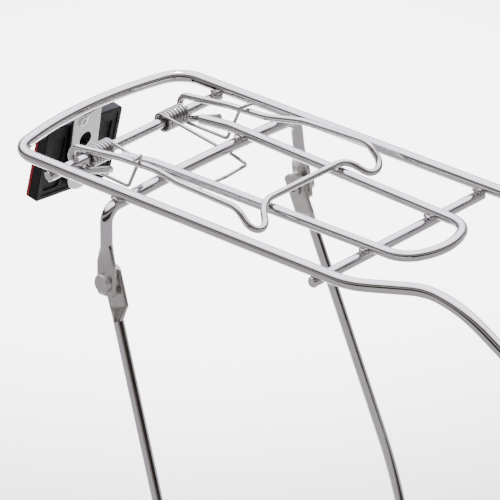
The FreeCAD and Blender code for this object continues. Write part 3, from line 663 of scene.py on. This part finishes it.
def make_spring(material):
    x, _, z = PIVOT_DECK
    for name, side in (("right_spring_half", -1), ("left_spring_half", 1)):
        hook = [deck(a, side * b, c) for a, b, c in HOOK]
        hook.append(deck(x, side * COIL_OUTER, z - COIL_RADIUS))
        points = bent_path(hook, HOOK_RADII)
        steps = int(COIL_TURNS * COIL_STEPS)
        for i in range(1, steps):
            part = i / steps
            angle = math.pi + 2 * math.pi * COIL_TURNS * part
            y = COIL_OUTER + (COIL_INNER - COIL_OUTER) * part
            spoke = (COIL_RADIUS * math.sin(angle), COIL_RADIUS * math.cos(angle))
            points.append(deck(x + spoke[0], side * y, z + spoke[1]))
        leg = [deck(x, side * COIL_INNER, z + COIL_RADIUS)]
        leg += [deck(a, side * b, c) for a, b, c in INNER_LEG]
        points += bent_path(leg, INNER_LEG_RADII)
        mesh = tube_mesh(name, points, SPRING_WIRE * MM, SPRING_SIDES)
        half = finish_piece(mesh, name, material, None)
        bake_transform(half)
        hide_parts("clip_spring")


# Welds, in deck coordinates. A bead's size is its half lengths along x, y and z.
RAIL_WELD_ASIDE = 73.6
LEG_WELD_ASIDE = 75.0
RAIL_WELD_HEIGHT = -3.9
INNER_RAIL_ASIDE = 34.4
INNER_RAIL_TAPER = 0.03
INNER_WELD_HEIGHT = -2.9
INNER_RAIL_FALL = 0.006
CROSS_ROD_BEAD = (4.1, 2.6, 2.2)
LEG_BEAD = (4.5, 4.6, 2.2)
INNER_RAIL_BEAD = (4.1, 4.4, 2.2)
BEAD_RIPPLE = 0.02
BEAD_SEED_STEP = 1.7
RIPPLE_RATE = 11.0
LUMP_HEIGHT = 0.10
LUMP_RATE = 2.1
SEAM_PLACE = (-98.9, 0.0, -4.3)
SEAM_SIZE = (1.7, 11.2, 1.1)
SEAM_RIPPLE = 0.01
SEAM_SEED = 3.0
# The spot of weld on the strip's face, from the strip's top. Reaches are parts of its radius.
NUGGET_RADIUS = 4.6
NUGGET_ASIDE = -4.0
NUGGET_DOWN = 5.2
NUGGET_RINGS = 14
NUGGET_SIDES = 40
NUGGET_SINK = 0.12
DOME_HEIGHT = 1.15
DOME_POWER = 0.6
CRATER_DEPTH = 0.75
CRATER_REACH = 0.15
CRATER_SPREAD = 0.05
WOBBLE_HEIGHT = 0.28
WOBBLE_RATE = 0.6


def bead_mesh(name, centre, size, ripple, seed):
    """A lump of weld metal: an ellipsoid with ripples across its length."""
    shape = bmesh.new()
    bmesh.ops.create_icosphere(shape, subdivisions=5, radius=1.0)
    for vertex in shape.verts:
        p = vertex.co
        rings = 1 + ripple * math.sin(p.y * RIPPLE_RATE + seed) * (1 - p.y * p.y)
        lump = 1 + LUMP_HEIGHT * noise.noise(p * LUMP_RATE + Vector((seed, seed, 0)))
        stretched = Vector((p.x * size[0], p.y * size[1], p.z * size[2])) * rings * lump
        vertex.co = centre + stretched * MM
    for face in shape.faces:
        face.smooth = True
    return mesh_from(shape, name)


def weld_spots():
    """The place and size of the bead at each crossing of two rods."""
    spots = []
    for side in (-1, 1):
        for x in (PIVOT_DECK.x, FRONT_BAR):
            spots.append(((x, side * RAIL_WELD_ASIDE, RAIL_WELD_HEIGHT), CROSS_ROD_BEAD))
        spots.append(((0.0, side * LEG_WELD_ASIDE, RAIL_WELD_HEIGHT), LEG_BEAD))
        for x in (0.0, FRONT_BAR):
            aside = INNER_RAIL_ASIDE - INNER_RAIL_TAPER * x
            height = INNER_WELD_HEIGHT - INNER_RAIL_FALL * x
            spots.append(((x, side * aside, height), INNER_RAIL_BEAD))
    return spots


def make_welds(material):
    whole = bmesh.new()
    for number, (place, size) in enumerate(weld_spots()):
        mesh = bead_mesh("bead", deck(*place), size, BEAD_RIPPLE, number * BEAD_SEED_STEP)
        whole.from_mesh(mesh)
        bpy.data.meshes.remove(mesh)
    mesh = mesh_from(whole, "weld_fillets")
    piece = finish_piece(mesh, "weld_fillets", material, "rack_frame")
    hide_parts("weld_beads")
    seam = bead_mesh("bracket_seam", deck(*SEAM_PLACE), SEAM_SIZE, SEAM_RIPPLE, SEAM_SEED)
    finish_piece(seam, "bracket_seam", material, "rack_frame")


def nugget_height(reach, across, up):
    """How far the spot of weld stands out of the strip: a low dome with a crater."""
    dome = DOME_HEIGHT * math.cos(math.pi / 2 * reach) ** DOME_POWER if reach < 1 else 0.0
    crater = CRATER_DEPTH * math.exp(-((reach - CRATER_REACH) ** 2) / CRATER_SPREAD)
    uneven = noise.noise(Vector((across, up, 2.0)) * WOBBLE_RATE)
    return dome - crater + WOBBLE_HEIGHT * uneven * (1 - reach) - NUGGET_SINK


def make_nugget(material):
    shape = bmesh.new()
    loops = []
    for ring in range(1, NUGGET_RINGS + 1):
        reach = ring / NUGGET_RINGS
        radius = NUGGET_RADIUS * ring / NUGGET_RINGS
        loop = []
        for angle in ring_angles(NUGGET_SIDES):
            wide = 1.1 + 0.08 * math.sin(3 * angle)
            tall = 0.95 + 0.06 * math.cos(2 * angle)
            across = radius * math.cos(angle) * wide
            up = radius * math.sin(angle) * tall
            height = nugget_height(reach, across, up)
            point = Vector((height, across + NUGGET_ASIDE, up - NUGGET_DOWN)) * MM
            loop.append(shape.verts.new(strip_place @ point))
        loops.append(loop)
    bridge(shape, loops)
    close_ends(shape, loops)
    bmesh.ops.recalc_face_normals(shape, faces=shape.faces)
    for face in shape.faces:
        face.smooth = len(face.verts) == 4
    mesh = mesh_from(shape, "bracket_nugget")
    finish_piece(mesh, "bracket_nugget", material, "rack_frame")


def dress_nodes():
    """Surfaces for the pieces that keep their CAD meshes. Those not named are chrome plated."""
    chrome = plated_steel(
        "chrome_plate", PLATE, dull=(0.42, 0.40, 0.39), smooth=0.07, rough=0.14, wave=0.10 * MM
    )
    wire = plated_steel(
        "plated_wire", (0.57, 0.56, 0.555), dull=(0.38, 0.36, 0.34), smooth=0.10, rough=0.19,
        wave=0.12 * MM,
    )
    leg_plate = pressed_steel("pressed_leg_plate", rod_end=-32, tab_end=-40)
    stay_plate = pressed_steel("pressed_stay_plate", rod_end=-80, tab_end=-76)
    surfaces = {
        "clip_arm": wire,
        "leg_hoop": leg_plate,
        "right_stay": stay_plate,
        "left_stay": stay_plate,
    }
    for side in ("right", "left"):
        hinge = joints[side + "_stay_hinge"]
        turned = turned_steel(side + "_turned_steel", hinge["pos_m"], hinge["axis"])
        for piece in ("stay_bolt", "head_washer", "spacer_a", "spacer_b", "stay_nut"):
            surfaces["%s_%s" % (side, piece)] = turned
    stud_axis = strip_place.to_3x3() @ Vector((1, 0, 0))
    stud_steel = turned_steel("stud_steel", stud_place.translation, stud_axis)
    for piece in ("reflector_stud", "reflector_washer", "reflector_nut"):
        surfaces[piece] = stud_steel
    for name, node in frame["nodes"].items():
        node.data.materials.clear()
        node.data.materials.append(surfaces.get(name, chrome))


# Everything together.
make_camera()
light_world()
backdrop_light()
make_floor()
dress_nodes()

black = black_plastic()
make_housing(black)
make_lens(red_acrylic())
make_prisms(red_prisms())

spring_wire = plated_steel(
    "spring_wire", (0.42, 0.41, 0.40), dull=(0.28, 0.26, 0.25), smooth=0.12, rough=0.20,
    wave=0.03 * MM,
)
make_spring(spring_wire)

weld = weld_metal()
make_welds(weld)
make_nugget(weld)
